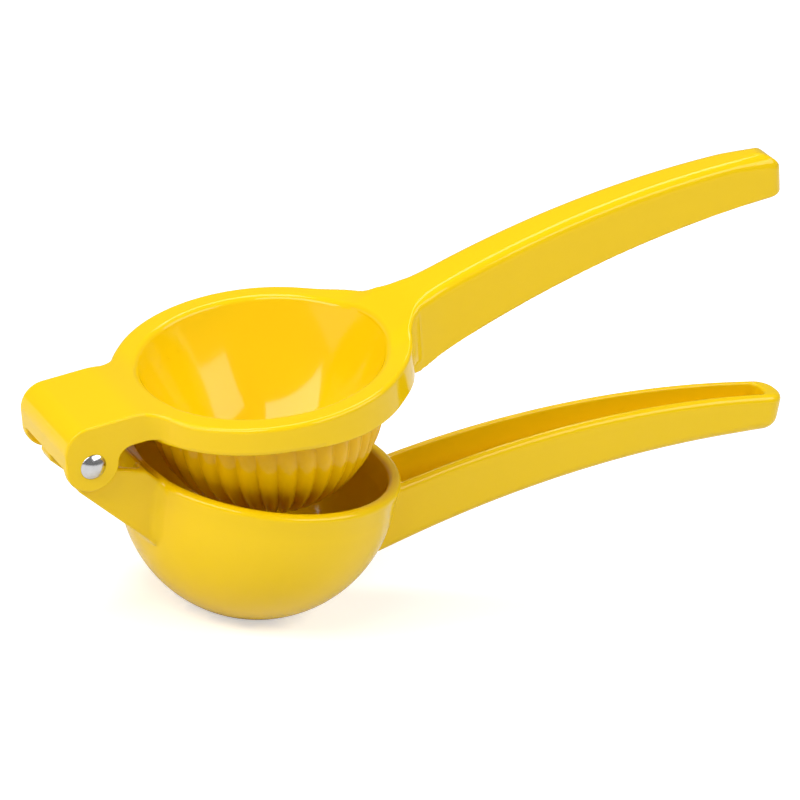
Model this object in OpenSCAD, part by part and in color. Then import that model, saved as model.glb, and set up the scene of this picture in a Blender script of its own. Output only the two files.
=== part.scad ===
// Hinged lemon squeezer: two cast levers on one rivet.
// The origin is the middle of the flat foot under the bowl. +X runs along the lower handle,
// +Z up the bowl's axis, and the rivet lies along Y at the -X end.

/* [Bowl] */
// Outer radius of the bowl at its rim
bowl_r = 36.4; // [34:0.2:42]
// Thickness of the bowl's wall
bowl_wall = 3.6; // [2.6:0.1:4.4]
// Height of the drafted band between the rim and the round part
bowl_band_h = 6.8; // [5:0.2:10]
// How much narrower the drafted band is at its lower end
bowl_draft = 0.8; // [0.4:0.1:1.2]
// Radius of the rounded outer edge of the rim
rim_round = 1.7; // [1:0.1:2]
// Width of the chamfer on the inner edge of the rim
rim_chamfer = 0.8; // [0.4:0.1:1.2]
// Radius of the flat foot under the bowl
foot_r = 11; // [9:0.5:13]

/* [Drain holes] */
// Radius of one drain hole
drain_r = 1.8; // [1.2:0.1:1.9]
// Number of holes in the inner ring
drain_inner_count = 6; // [4:1:7]
// Radius of the inner ring of holes
drain_inner_ring_r = 7; // [6.5:0.1:7.5]
// Number of holes in the outer ring
drain_outer_count = 12; // [8:1:14]
// Radius of the outer ring of holes
drain_outer_ring_r = 14; // [13.6:0.1:15]

/* [Hinge] */
// Angle between the two levers as they stand, 0 when the ring is parallel to the rim
open_angle = 15; // [5:1:40]
// Distance of the rivet behind the bowl's outer wall
pivot_back = 18.2; // [17:0.2:20]
// Height of the rivet above the rim
pivot_up = 6.2; // [5:0.2:8]
// Radius of the rivet's shank
rivet_r = 2; // [1.6:0.1:2.3]
// Radius of the rivet's heads
rivet_head_r = 3.5; // [3:0.1:4.5]
// Height of the rivet's domed heads
rivet_head_h = 1.5; // [1:0.1:2]
// Radial running clearance of the shank in the tongue
rivet_clearance = 0.06; // [0.03:0.01:0.1]

/* [Tongue] */
// Half the width of the tongue
tongue_half_w = 12; // [10:0.2:13]
// Thickness of the tongue's walls
tongue_wall = 2.4; // [1.8:0.1:3]
// Thickness of the tongue's floor
tongue_floor = 3.6; // [2.4:0.1:4.4]
// Radius of the tongue's round end
tongue_end_r = 4.7; // [4.4:0.1:4.8]
// Height of the tongue's top edge above the rim, at its highest in front of the rivet
tongue_top = 3.7; // [3:0.1:4.2]
// Height of the tongue's top edge at the front of its pocket, above the rim
tongue_front_top = 2.9; // [2:0.1:3.4]
// Depth of the tongue's underside below the rivet
tongue_depth = 9.2; // [8.8:0.1:9.8]
// Slope of the tongue's underside in degrees
tongue_slope = 33.5; // [30:0.5:37]
// Distance of the stop shoulder behind the rivet
shoulder_back = 1.9; // [1:0.1:2.2]
// Distance between the bowl's outer wall and the front of the pocket in the tongue
pocket_front_gap = 3.1; // [1:0.1:5]

/* [Hood] */
// Side clearance between the tongue and each ear
ear_clearance = 0.3; // [0.2:0.05:0.6]
// Thickness of each ear
ear_wall = 2.4; // [1.8:0.1:3]
// Radius of the ears round the rivet
ear_r = 7; // [6.6:0.1:8]
// Distance of the rivet below the ring's top face
pivot_below_ring = 8.6; // [8:0.1:10]
// Distance of the rivet behind the ring's outer edge
ring_pivot_back = 15; // [14.6:0.1:16]
// Height of the hood's flat top above the ring's top face
hood_rise = 2.2; // [1:0.1:3]
// Thickness of the hood's top
hood_top_wall = 2.6; // [2:0.1:3.2]
// Thickness of the hood's back wall
hood_back_wall = 2; // [1.5:0.1:2]
// Radius of the rounded top edge at the back of the hood
hood_back_round = 6.5; // [5.2:0.1:7]
// Height of the back wall's lower edge above the rivet
hood_back_gap = 0.1; // [0:0.1:1]
// Distance behind the ring's outer edge at which the neck's top starts to slope down
neck_ramp_back = 4; // [2:0.5:6]
// Distance inside the ring's outer edge at which that slope ends
neck_ramp_front = 10; // [6:0.5:12]
// Thickness of the neck between the hood and the ring, below the ring's top face
neck_thick = 6; // [5:0.2:7]
// Radius of the fillet between the neck and the ring in plan
neck_fillet = 4; // [2:0.2:6]
// Radius of the hollow corner between the ears and the neck
ear_fillet = 4; // [2:0.2:4.4]

/* [Ring and press cup] */
// Outer radius of the ring
ring_r = 37.7; // [36:0.1:40]
// Thickness of the ring on the hinge's side
ring_thick = 7.6; // [6.6:0.1:9]
// How much thicker the ring is on the handle's side
ring_deeper = 1.7; // [0:0.1:2]
// Distance behind the ring's middle at which its underside starts to slope
ring_slope_back = 8; // [0:1:20]
// Distance in front of the ring's middle at which that slope ends
ring_slope_front = 12; // [4:1:20]
// Length over which the ring's underside then drops to the handle's lower edge
root_drop_len = 4.6; // [3:0.2:8]
// Radius of the rounded top edge of the ring
ring_round_top = 1.3; // [0.8:0.1:2]
// Radius of the press cup over the flutes
cup_r = 30.5; // [29:0.1:30.8]
// Depth of the ball's centre below the ring's top face
cup_centre_depth = 11.2; // [10.5:0.1:13]
// Shift of the press cup towards the handle from the middle of the ring
cup_shift = 0.6; // [0:0.1:1]
// Depth of the flutes
flute_depth = 0.9; // [0.5:0.1:1.2]
// Number of flutes
flute_count = 36; // [24:1:40]
// Share of each pitch taken up by the raised rib, in percent
rib_share = 66; // [50:1:75]
// Thickness of the press cup's wall behind the flutes, before its inside is cut out
cup_wall = 2; // [1.5:0.1:2.6]
// Radius of the opening in the ring's top face
mouth_r = 31.7; // [31:0.1:32]
// Depth of the press cup's inside below the ring's top face
cup_inside_depth = 34; // [31:0.5:36]
// Roundness of the press cup's inside: its radius grows with this power of the height, in percent
cup_inside_power = 42; // [40:1:50]

/* [Handles] */
// Distance from the bowl's axis to the tip of the lower handle
lower_reach = 153.1; // [125:1:175]
// Distance from the ring's axis to the tip of the upper handle
upper_reach = 150.9; // [125:1:175]
// Distance beyond the bowl's wall at which the curves of both handles are set
root_out = 6.6; // [5:0.2:8]
// Height of the lower handle's top edge above the rim at the root
lower_root_top = -3.8; // [-5:0.2:-2]
// Height of the lower handle's top edge above the rim at its crest
lower_crest_top = 14.2; // [12:0.2:15]
// Height of the lower handle's underside above the rim at the root
lower_root_bottom = -22; // [-24:0.1:-19]
// Height of the lower handle's underside above the rim at its crest
lower_crest_bottom = 5; // [3:0.2:7]
// Distance of the crest of the lower handle's underside beyond the tip
lower_crest_beyond = 20.4; // [10:0.2:30]
// Distance of the crest of the lower handle's top before the tip
lower_crest_before = 6.5; // [0:0.5:20]
// Slope of the lower handle's underside where it runs into the bowl
lower_root_slope = 0.45; // [0.4:0.01:0.5]
// Half the width of the lower handle at the root
lower_root_half_w = 8.8; // [7.5:0.1:10]
// Half the width of the lower handle at the tip
lower_tip_half_w = 5.7; // [5:0.1:7]
// Height of the upper handle's top above the ring's top face at the root
upper_root_top = 6.6; // [5:0.2:8]
// Height of the upper handle's top above the ring's top face at its crest
upper_crest_top = 18.6; // [16:0.2:20]
// Distance of the crest of the upper handle's top before the tip
upper_crest_before = 28; // [15:1:35]
// Height of the upper handle's lower edge above the ring's top face at the root
upper_root_bottom = -12.4; // [-13:0.2:-10]
// Height of the upper handle's lower edge above the ring's top face at its crest
upper_crest_bottom = 5.6; // [5:0.2:8]
// Distance of the crest of the upper handle's lower edge before the tip
upper_bottom_crest_before = 5; // [0:0.5:15]
// Half the width of the upper handle at the root
upper_root_half_w = 6.7; // [6:0.1:8]
// Half the width of the upper handle at the tip
upper_tip_half_w = 5; // [4.6:0.1:6.4]
// Distance inside the ring's outer edge at which its top starts to rise to the handle
ramp_inside = 13.7; // [8:0.1:16]
// Length over which the ring's top rises into the upper handle
ramp_len = 19; // [14:0.5:22]
// Radius of the fillet between the ring and the upper handle in plan
root_fillet = 14; // [12:0.5:20]
// Thickness of both handles' side walls
handle_wall = 2.5; // [1.8:0.1:3]
// Thickness of the solid end of the lower handle's channel
lower_end_wall = 5.6; // [3:0.2:8]
// Thickness of both handles' closed side
handle_web = 3; // [2.4:0.1:4]
// Radius of the long rounded edges of both handles
handle_round = 3; // [2:0.1:3.6]
// Radius of the rounded top edge at the upper handle's tip
upper_tip_round = 5.4; // [3:0.2:6]
// Radius of the rounded underside at the lower handle's tip
lower_tip_round = 5.6; // [4:0.2:8]
// Radius of the rounded edge along the open side of the lower handle
lower_edge_round = 1.6; // [0.6:0.1:1.8]
// Radius of the rounded edge along the open side of the upper handle
upper_edge_round = 0.8; // [0.4:0.1:1.2]
// Distance between the bowl's rim and the start of the channel in the lower handle
channel_gap = 1.6; // [0:0.2:3]

/* [Hidden] */

enamel = "gold";
steel = "silver";

// Numbers of facets: large round shapes, hinge and small edges
round_fn = 96;
hinge_fn = 48;
small_fn = 24;
// How far a cutting shape reaches past the face it opens
over = 1;

// Round part of the bowl
ball_r = bowl_r - bowl_draft;
ball_z = sqrt(ball_r * ball_r - foot_r * foot_r);
rim_z = ball_z + bowl_band_h;
inner_ball_r = ball_r - bowl_wall;
inner_rim_r = bowl_r - bowl_wall;

// Pivot in the bowl's frame and in the ring's own frame
pivot_x = -bowl_r - pivot_back;
pivot_z = rim_z + pivot_up;
ring_pivot_x = -ring_r - ring_pivot_back;
hood_half_w = tongue_half_w + ear_clearance + ear_wall;

// Press cup
cup_valley_r = cup_r - flute_depth;

// Handles, and the plan fillet between the ring and the upper handle
root_x = bowl_r + root_out;
sharp_round = 0.2;
fillet_y = upper_root_half_w + root_fillet;
fillet_x = sqrt((ring_r + root_fillet) * (ring_r + root_fillet) - fillet_y * fillet_y);
flare_x = fillet_x * ring_r / (ring_r + root_fillet);
ramp_x = ring_r - ramp_inside;

// Height at x of the circular arc that passes (x0, z0) and is level at (x1, z1)
function arc_r(x0, z0, x1, z1) = ((x1 - x0) * (x1 - x0) + (z1 - z0) * (z1 - z0)) / (2 * (z1 - z0));
function arc_z(x, x0, z0, x1, z1) =
    let (r = arc_r(x0, z0, x1, z1))
    z1 - r + sqrt(r * r - (x1 - x) * (x1 - x));

// Smooth step from 0 to 1
function ease(t) = t <= 0 ? 0 : t >= 1 ? 1 : t * t * (3 - 2 * t);

// How far a round of radius r has dropped at x, when it ends at x_end
function round_drop(x, x_end, r) =
    x <= x_end - r ? 0 : r - sqrt(max(0, r * r - (x - x_end + r) * (x - x_end + r)));

// Half width of a handle at x: tapered, and round in plan at the tip
function handle_half_w(x, x_tip, w_root, w_tip) =
    let (w = w_root + (w_tip - w_root) * max(0, x - root_x) / (x_tip - root_x))
    w - round_drop(x, x_tip, w_tip) * w / w_tip;

// Upper handle, in the ring's frame
function upper_top(x) =
    arc_z(x, root_x, upper_root_top, upper_reach - upper_crest_before, upper_crest_top);
function upper_top_ramped(x) =
    upper_top(x) * ease((x - ramp_x) / ramp_len) - round_drop(x, upper_reach, upper_tip_round);
function upper_bottom(x) =
    x < root_x
    ? upper_root_bottom
    : arc_z(x, root_x, upper_root_bottom,
        upper_reach - upper_bottom_crest_before, upper_crest_bottom);
function upper_half_w(x) = handle_half_w(x, upper_reach, upper_root_half_w, upper_tip_half_w);

// Lower handle, in the bowl's rim frame
function lower_top(x) =
    arc_z(x, root_x, lower_root_top, lower_reach - lower_crest_before, lower_crest_top);
function lower_bottom_bare(x) =
    x < root_x
    ? lower_root_bottom + lower_root_slope * (x - root_x)
    : arc_z(x, root_x, lower_root_bottom, lower_reach + lower_crest_beyond, lower_crest_bottom);
function lower_bottom(x) = lower_bottom_bare(x) + round_drop(x, lower_reach, lower_tip_round);
function lower_half_w(x) = handle_half_w(x, lower_reach, lower_root_half_w, lower_tip_half_w);

// Stations along a handle, close together in the rounded tip
body_steps = 14;
tip_steps = 6;
tip_last_angle = 85;
function stations(x0, x_tip, r_tip) = concat(
    [for (i = [0 : body_steps]) x0 + (x_tip - r_tip - x0) * i / body_steps],
    [for (i = [1 : tip_steps]) x_tip - r_tip + r_tip * sin(tip_last_angle * i / tip_steps)]);

// One cross-section in the YZ plane: half width w, z from z0 to z1, and
// corner rounds r0 at the bottom and r1 at the top
corner_steps = 4;
corner_share = 0.95;
function corner(x, y, z, r, a0) = [for (i = [0 : corner_steps])
    let (a = a0 + 90 * i / corner_steps) [x, y + r * cos(a), z + r * sin(a)]];
function section(x, w, z0, z1, r0, r1) =
    let (a = min(r0, w * corner_share), b = min(r1, w * corner_share))
    concat(
        corner(x, w - b, z1 - b, b, 0),
        corner(x, -w + b, z1 - b, b, 90),
        corner(x, -w + a, z0 + a, a, 180),
        corner(x, w - a, z0 + a, a, 270));

// Closed solid through a list of cross-sections with equally many points
module loft(rings) {
    n = len(rings[0]);
    m = len(rings);
    points = [for (ring = rings) each ring];
    sides = [for (i = [0 : m - 2]) for (j = [0 : n - 1])
        let (a = i * n + j, b = i * n + (j + 1) % n)
        each [[a, a + n, b], [b, a + n, b + n]]];
    first = [for (j = [0 : n - 1]) j];
    last = [for (j = [n - 1 : -1 : 0]) (m - 1) * n + j];
    polyhedron(points, concat([first, last], sides), convexity = 6);
}

// Places the children, drawn in the ring's frame, at the opening angle
module on_upper_lever() {
    translate([pivot_x, 0, pivot_z])
        rotate([0, -open_angle, 0])
            translate([-ring_pivot_x, 0, pivot_below_ring])
                children();
}

// Extrudes a side view drawn in X and Z across the width, symmetric about Y = 0
module across(half_w) {
    rotate([90, 0, 0])
        linear_extrude(2 * half_w, center = true)
            children();
}

// Points of an arc in the side view
arc_steps = 8;
function arc_points(cx, cz, r, a0, a1) = [for (i = [0 : arc_steps])
    let (a = a0 + (a1 - a0) * i / arc_steps) [cx + r * cos(a), cz + r * sin(a)]];

// Flat disc with a rounded top edge, its top face at Z = 0
module rounded_disc(r, h, r_top) {
    translate([0, 0, -h])
        cylinder(h = h - r_top, r = r, $fn = round_fn);
    translate([0, 0, -r_top])
        edge_ring(r, r_top);
    translate([0, 0, -r_top])
        cylinder(h = r_top, r = r - r_top, $fn = round_fn);
}

// Rounded edge of a disc: a torus whose outer radius is r
module edge_ring(r, edge_r) {
    rotate_extrude($fn = round_fn)
        translate([r - edge_r, 0])
            circle(r = edge_r, $fn = small_fn);
}

// Lower half of a ball with a drum above it
module round_cup(r, drum_h) {
    difference() {
        sphere(r = r, $fn = round_fn);
        translate([-r - over, -r - over, 0])
            cube(2 * (r + over));
    }
    cylinder(h = drum_h, r = r, $fn = round_fn);
}

// ---------- lower lever ----------

module bowl_outside() {
    difference() {
        translate([0, 0, ball_z])
            sphere(r = ball_r, $fn = round_fn);
        translate([-bowl_r, -bowl_r, ball_z])
            cube(2 * bowl_r);
        translate([-bowl_r, -bowl_r, -2 * bowl_r])
            cube(2 * bowl_r);
    }
    translate([0, 0, ball_z])
        cylinder(h = bowl_band_h - rim_round, r1 = ball_r, r2 = bowl_r, $fn = round_fn);
    translate([0, 0, rim_z - rim_round])
        cylinder(h = rim_round, r = bowl_r - rim_round, $fn = round_fn);
    translate([0, 0, rim_z - rim_round])
        edge_ring(bowl_r, rim_round);
}

module bowl_inside() {
    translate([0, 0, ball_z])
        sphere(r = inner_ball_r, $fn = round_fn);
    translate([0, 0, ball_z])
        cylinder(h = bowl_band_h + over, r1 = inner_ball_r, r2 = inner_rim_r, $fn = round_fn);
    translate([0, 0, rim_z - rim_chamfer])
        cylinder(h = 2 * rim_chamfer, r1 = inner_rim_r, r2 = inner_rim_r + 2 * rim_chamfer,
            $fn = round_fn);
    translate([0, 0, rim_z])
        cylinder(h = tongue_end_r * 4, r = inner_rim_r + rim_chamfer, $fn = round_fn);
}

module drain_holes() {
    translate([0, 0, -over])
        cylinder(h = ball_z, r = drain_r, $fn = small_fn);
    for (i = [1 : drain_inner_count])
        rotate([0, 0, 360 * i / drain_inner_count])
            translate([drain_inner_ring_r, 0, -over])
                cylinder(h = ball_z, r = drain_r, $fn = small_fn);
    for (i = [1 : drain_outer_count])
        rotate([0, 0, 360 * (i + 0.5) / drain_outer_count])
            translate([drain_outer_ring_r, 0, -over])
                cylinder(h = ball_z, r = drain_r, $fn = small_fn);
}

module lower_handle() {
    translate([0, 0, rim_z])
        difference() {
            loft([for (x = stations(inner_ball_r - bowl_wall, lower_reach, lower_tip_half_w))
                section(x, lower_half_w(x), lower_bottom(x), lower_top(x),
                    handle_round, lower_edge_round)]);
            difference() {
                loft([for (x = stations(bowl_r, lower_reach - lower_end_wall,
                        lower_tip_half_w - handle_wall))
                    section(x, max(sharp_round, lower_half_w(x + lower_end_wall) - handle_wall),
                        lower_bottom(x) + handle_web, lower_top(x) + 2 * over,
                        handle_round / 2, sharp_round)]);
                translate([0, 0, -rim_z])
                    cylinder(h = 2 * rim_z, r = bowl_r + channel_gap, $fn = round_fn);
            }
        }
}

// Side view of the tongue, with the rivet at (0, 0): round end, stop shoulder,
// sloping underside and the low top edge that meets the rim
function tongue_underside(x) = -tongue_depth - tan(tongue_slope) * x;
tongue_top_angle = 37;
module tongue_side_view() {
    front = pivot_back + bowl_wall;
    joint_r = tongue_end_r - sharp_round;
    circle(r = tongue_end_r, $fn = hinge_fn);
    polygon([
        [-shoulder_back, 0],
        [-shoulder_back, tongue_underside(-shoulder_back) + over],
        [-shoulder_back + over, tongue_underside(-shoulder_back + over)],
        [front, tongue_underside(front)],
        [front, -pivot_up],
        [pivot_back, -pivot_up],
        [pivot_back - pocket_front_gap, tongue_front_top - pivot_up],
        [tongue_end_r * 2, tongue_top - pivot_up],
        [tongue_end_r + over, tongue_top - pivot_up + over],
        [joint_r * cos(tongue_top_angle), joint_r * sin(tongue_top_angle)],
        [0, joint_r * sin(tongue_top_angle)]]);
}

// Side view of the pocket in the tongue, open on top
module pocket_side_view() {
    pocket_front = pivot_back - pocket_front_gap;
    circle(r = tongue_end_r - tongue_wall, $fn = hinge_fn);
    polygon([
        [-tongue_end_r + tongue_wall, 0],
        [-shoulder_back + tongue_wall, tongue_underside(-shoulder_back) + tongue_floor],
        [pocket_front, tongue_underside(pocket_front) + tongue_floor],
        [pocket_front, 2 * tongue_end_r],
        [-tongue_end_r + tongue_wall, 2 * tongue_end_r]]);
}

module tongue() {
    difference() {
        translate([pivot_x, 0, pivot_z])
            across(tongue_half_w)
                tongue_side_view();
        translate([pivot_x, 0, pivot_z])
            across(tongue_half_w - tongue_wall)
                pocket_side_view();
    }
}

module lower_lever() {
    color(enamel)
        difference() {
            union() {
                lower_handle();
                tongue();
                bowl_outside();
            }
            bowl_inside();
            drain_holes();
            translate([pivot_x, 0, pivot_z])
                rotate([90, 0, 0])
                    cylinder(h = 2 * tongue_half_w + 2 * over, r = rivet_r + rivet_clearance,
                        center = true, $fn = hinge_fn);
        }
}

// ---------- upper lever, drawn in the ring's frame ----------

module press_cup_outside() {
    pitch = 360 / flute_count;
    rib = pitch * rib_share / 100;
    pole_r = cup_r / 10;
    translate([cup_shift, 0, -cup_centre_depth]) {
        round_cup(cup_valley_r, cup_centre_depth - ring_thick / 2);
        for (i = [0 : flute_count - 1])
            rotate([0, 0, i * pitch])
                rotate_extrude(angle = rib, $fn = round_fn)
                    intersection() {
                        difference() {
                            circle(r = cup_r, $fn = round_fn);
                            circle(r = cup_valley_r - cup_wall, $fn = round_fn);
                        }
                        translate([pole_r, -cup_r - over])
                            square([cup_r + over, cup_r + cup_centre_depth - ring_thick / 2]);
                    }
    }
}

// Inside of the press cup: a deep bowl, narrower than the ball outside it.
// The steps are closer together near the bottom, where it curves most.
cup_inside_steps = 14;
module press_cup_inside() {
    translate([cup_shift, 0, 0])
        rotate_extrude($fn = round_fn)
            polygon(concat(
                [for (i = [0 : cup_inside_steps])
                    let (s = i / cup_inside_steps)
                    [mouth_r * pow(s, 2 * cup_inside_power / 100), cup_inside_depth * (s * s - 1)]],
                [[mouth_r, upper_crest_top], [0, upper_crest_top]]));
}

// Side view of what is cut away under the ring, which is deeper towards the handle
deep = ring_thick + ring_deeper;
module under_ring_side_view() {
    polygon([
        [-ring_r - over, -ring_thick],
        [-ring_slope_back, -ring_thick],
        [ring_slope_front, -deep],
        [flare_x - root_drop_len, -deep],
        [flare_x, upper_root_bottom],
        [ring_r + over, upper_root_bottom],
        [ring_r + over, upper_root_bottom - over],
        [-ring_r - over, upper_root_bottom - over]]);
}

module ring() {
    difference() {
        rounded_disc(ring_r, -upper_root_bottom, ring_round_top);
        across(ring_r + over)
            under_ring_side_view();
    }
}

// Handle and its root: the root is as wide as the ring at first, then a fillet in plan
// narrows it to the handle
root_steps = 10;
function flare_w(x) =
    root_fillet - sqrt(root_fillet * root_fillet - (fillet_x - x) * (fillet_x - x));
function root_half_w(x) =
    x < flare_x ? sqrt((ring_r - sharp_round) * (ring_r - sharp_round) - x * x)
    : x < fillet_x ? upper_half_w(x) + flare_w(x)
    : upper_half_w(x);
function root_bottom(x) = x < flare_x ? -ring_thick : upper_bottom(x);
function root_round(x) =
    ring_round_top + (handle_round - ring_round_top) * ease((x - flare_x) / (fillet_x - flare_x));
module upper_handle_outside() {
    root = [for (i = [0 : root_steps - 1]) ramp_x + (fillet_x - ramp_x) * i / root_steps];
    loft([for (x = concat(root, stations(fillet_x, upper_reach, upper_tip_half_w)))
        section(x, root_half_w(x), root_bottom(x), upper_top_ramped(x),
            upper_edge_round, root_round(x))]);
}

// Channel in the handle, open underneath; it starts beside the press cup and deepens from there
channel_start_slope = 3;
module upper_handle_inside() {
    start = cup_shift + cup_r + over;
    loft([for (x = stations(start, upper_reach - handle_wall, upper_tip_half_w - handle_wall))
        section(x, max(sharp_round, upper_half_w(x + handle_wall) - handle_wall),
            upper_bottom(x) - 2 * over,
            min(upper_top_ramped(x) - handle_web, -ring_thick + channel_start_slope * (x - start)),
            sharp_round, handle_round / 2)]);
}

// Side view of the hood and its ears, with the rivet at (0, 0)
hood_top = pivot_below_ring + hood_rise;
neck_bottom = pivot_below_ring - neck_thick;
hood_front = -ring_pivot_x - ring_r;
corner_z = neck_bottom - ear_fillet;
corner_x = sqrt((ear_r + ear_fillet) * (ear_r + ear_fillet) - corner_z * corner_z);
module hood_side_view() {
    polygon(concat(
        [[hood_front + neck_ramp_front, pivot_below_ring]],
        [[hood_front - neck_ramp_back, hood_top]],
        arc_points(-ear_r + hood_back_round, hood_top - hood_back_round, hood_back_round, 90, 180),
        [[-ear_r, 0]],
        [[0, 0]],
        arc_points(corner_x, corner_z, ear_fillet, atan2(-corner_z, -corner_x), 90),
        [[hood_front + ring_round_top * 4, neck_bottom]]));
}

// Side view of the space under the hood
module hood_space_side_view() {
    inner_round = hood_back_round - hood_back_wall;
    inner_top = hood_top - hood_top_wall;
    polygon(concat(
        [[-3 * ear_r, hood_back_gap]],
        [[-ear_r + hood_back_wall, hood_back_gap]],
        arc_points(-ear_r + hood_back_round, inner_top - inner_round, inner_round, 180, 90),
        [[ear_r, inner_top]],
        [[ear_r + ear_fillet, neck_bottom]],
        [[ear_r + ear_fillet, -3 * ear_r]],
        [[-3 * ear_r, -3 * ear_r]]));
}

// Fillets between the ring and the sides of the neck, seen from above
neck_fillet_y = hood_half_w + neck_fillet;
neck_fillet_x = sqrt((ring_r + neck_fillet) * (ring_r + neck_fillet) - neck_fillet_y * neck_fillet_y);
module neck_fillets() {
    tangent = ring_r / (ring_r + neck_fillet);
    translate([0, 0, -neck_thick])
        linear_extrude(neck_thick)
            difference() {
                polygon([
                    [-neck_fillet_x, -hood_half_w],
                    [-neck_fillet_x * tangent, -neck_fillet_y * tangent],
                    [-neck_fillet_x * tangent + over, 0],
                    [-neck_fillet_x * tangent, neck_fillet_y * tangent],
                    [-neck_fillet_x, hood_half_w]]);
                for (side = [-1, 1])
                    translate([-neck_fillet_x, side * neck_fillet_y])
                        circle(r = neck_fillet, $fn = hinge_fn);
            }
}

module hood() {
    difference() {
        translate([ring_pivot_x, 0, -pivot_below_ring]) {
            across(hood_half_w)
                hood_side_view();
            rotate([90, 0, 0])
                cylinder(h = 2 * hood_half_w, r = ear_r, center = true, $fn = round_fn);
        }
        translate([ring_pivot_x, 0, -pivot_below_ring])
            across(hood_half_w - ear_wall)
                hood_space_side_view();
    }
}

module upper_lever() {
    color(enamel)
        on_upper_lever()
            difference() {
                union() {
                    ring();
                    neck_fillets();
                    hood();
                    upper_handle_outside();
                    press_cup_outside();
                }
                press_cup_inside();
                upper_handle_inside();
                translate([ring_pivot_x, 0, -pivot_below_ring])
                    rotate([90, 0, 0])
                        cylinder(h = 2 * hood_half_w + 2 * over, r = rivet_r, center = true,
                            $fn = hinge_fn);
            }
}

// ---------- rivet ----------

module rivet_head() {
    dome_r = (rivet_head_r * rivet_head_r + rivet_head_h * rivet_head_h) / (2 * rivet_head_h);
    translate([0, 0, hood_half_w])
        intersection() {
            cylinder(h = rivet_head_h, r = rivet_head_r, $fn = hinge_fn);
            translate([0, 0, rivet_head_h - dome_r])
                sphere(r = dome_r, $fn = round_fn);
        }
}

module hinge_rivet() {
    color(steel)
        translate([pivot_x, 0, pivot_z])
            rotate([90, 0, 0]) {
                cylinder(h = 2 * hood_half_w, r = rivet_r, center = true, $fn = hinge_fn);
                rivet_head();
                mirror([0, 0, 1])
                    rivet_head();
            }
}

upper_lever();
lower_lever();
hinge_rivet();
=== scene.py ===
import math
import bpy
import numpy as np
from mathutils import Matrix, Vector


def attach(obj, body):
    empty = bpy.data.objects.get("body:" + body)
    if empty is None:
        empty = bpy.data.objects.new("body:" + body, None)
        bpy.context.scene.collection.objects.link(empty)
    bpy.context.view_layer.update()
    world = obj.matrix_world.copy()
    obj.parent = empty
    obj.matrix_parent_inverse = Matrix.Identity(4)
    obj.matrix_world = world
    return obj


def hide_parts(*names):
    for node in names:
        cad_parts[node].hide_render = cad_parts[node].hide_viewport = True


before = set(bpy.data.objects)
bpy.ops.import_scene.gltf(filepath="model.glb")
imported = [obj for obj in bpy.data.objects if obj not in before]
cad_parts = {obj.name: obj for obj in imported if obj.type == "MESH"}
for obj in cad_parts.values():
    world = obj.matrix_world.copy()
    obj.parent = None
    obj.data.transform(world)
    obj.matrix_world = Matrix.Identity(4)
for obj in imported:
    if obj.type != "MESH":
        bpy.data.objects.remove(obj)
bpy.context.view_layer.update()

MM = 0.001
FULL_TURN = 2 * math.pi

# Sizes in millimetres, the same as in the construction. The ring's frame has its origin in
# the middle of the ring's top face, the rim's frame in the middle of the bowl's rim.
RIM_Z = 40.66
PIVOT = (-54.6, 46.86)
RING_PIVOT = (-52.7, -8.6)
OPEN_ANGLE = 15.0
ROOT_X = 43                       # the curved part of both handles starts here
CHANNEL_WALL = 2.5

RING_R = 37.7
CUP_SHIFT = 0.6
CUP_DEPTH = 11.2
CUP_R = 29.4
MOUTH_R = 31.7
CUP_INSIDE_DEPTH = 34.0
CUP_INSIDE_POWER = 0.42

HOOD_HALF_W = 14.7
HOOD_BACK = 6.97                  # behind the rivet
HOOD_WALL = 2.6
HOOD_END = -46                    # where the hood's sides, seen from above, stop following the ring
EAR_INNER = 12.3
EAR_R = 7.0
NECK_UNDER = -6.0                 # underside of the ring where the hood starts

UPPER_REACH = 150.9
UPPER_ROOT_TOP = 6.6
UPPER_CREST = (UPPER_REACH - 24, 18.43)
UPPER_END_UNDER = (UPPER_REACH - 5, 5.6)
UPPER_HALF_W = 6.7
UPPER_TAPER = 1.7
UPPER_FLARE = 2.6
UPPER_RISE_X = 24                 # the handle's top face starts to rise here
HOOD_RISE_X = -27.7
HOOD_RISE = 2.2

LOWER_REACH = 153.05
LOWER_ROOT_TOP = -3.8
LOWER_ROOT_UNDER = -22.0
LOWER_CREST = (LOWER_REACH - 6.5, 14.2)
LOWER_END_UNDER = (LOWER_REACH + 20.4, 4.6)
LOWER_HALF_W = 8.8
LOWER_TAPER = 3.1

BOWL_R = 35.6
BOWL_INSIDE_R = 32.0
BOWL_BAND = 6.8                   # height of the band between the ball and the rim
RIM_LEAN = 0.8
DRAIN_R = 1.8

TONGUE_HALF_W = 12.0
TONGUE_R = 4.7
TONGUE_DROP = 9.2
TONGUE_SLOPE = math.tan(math.radians(33.5))
TONGUE_BACK = -1.9
TONGUE_FRONT = 22
TONGUE_WALL = 3.6
POCKET_BACK = -2.3
POCKET_FRONT = 15.1
POCKET_TOP = 9.4
POCKET_HALF_W = 9.6


# ---------------------------------------------------------------- distance functions

def hyp(a, b):
    return np.sqrt(a * a + b * b)


def cut(a, b, r):
    """What is inside both a and b, its outer edge rounded with radius r."""
    return np.minimum(-r, np.maximum(a, b)) + hyp(np.maximum(r + a, 0), np.maximum(r + b, 0))


def join(a, b, r):
    """What is inside a or b, its inner corner filled with radius r."""
    return np.maximum(r, np.minimum(a, b)) - hyp(np.maximum(r - a, 0), np.maximum(r - b, 0))


def ease(t):
    t = np.clip(t, 0, 1)
    return t * t * (3 - 2 * t)


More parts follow.
